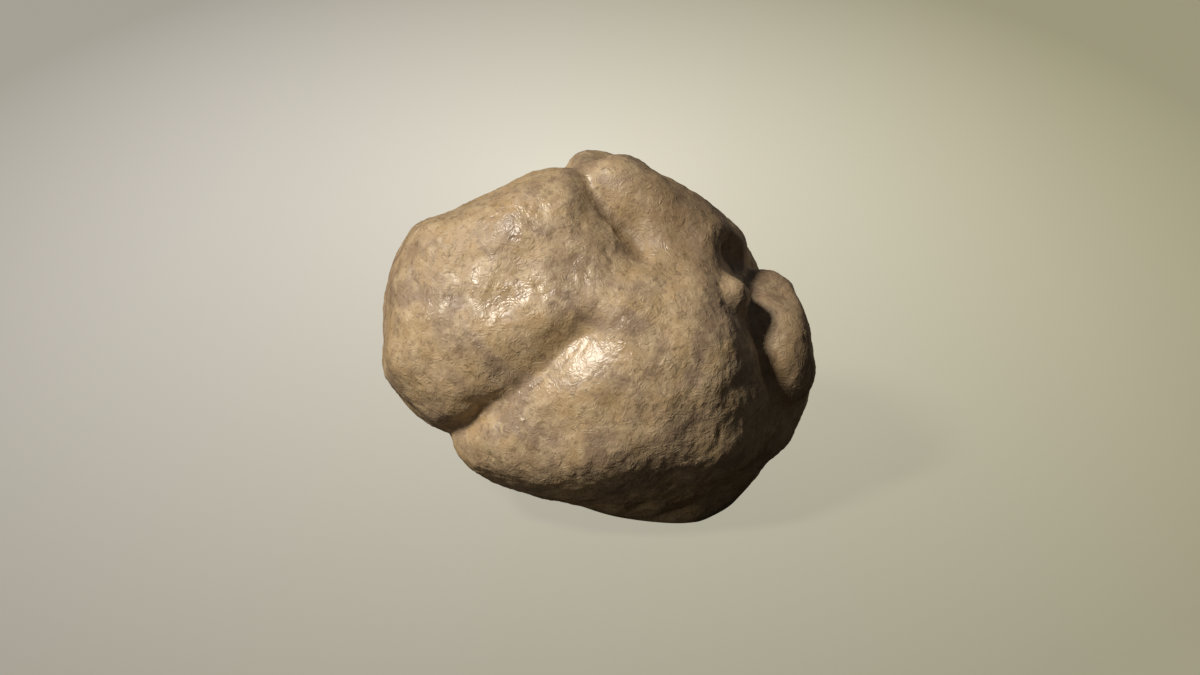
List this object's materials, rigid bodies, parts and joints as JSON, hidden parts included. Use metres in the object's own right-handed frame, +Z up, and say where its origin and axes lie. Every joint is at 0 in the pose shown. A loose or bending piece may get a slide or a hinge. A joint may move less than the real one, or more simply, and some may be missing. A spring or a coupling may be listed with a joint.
{
  "type": "lump of clay",
  "caption": "Irregular fist-sized lump of moist potter's clay: rounded lobes with thumbed seams, a thumbed hollow at the upper right, kneaded relief and a small flat spot to rest on.",
  "frame": {"origin": "centre of the bounding box, at the height of the flat spot that the lump rests on", "axes": "+X to the right along the longest extent, +Y to the back, +Z up; the lobes of the picture face -Y"},
  "size_m": [0.12, 0.1058, 0.1032],
  "materials": {
    "moist_clay": "moist tan clay, satin, with greyish mauve patches and wet glints"
  },
  "bodies": {
    "root": {"clay_lump": "moist_clay"}
  },
  "joints": []
}
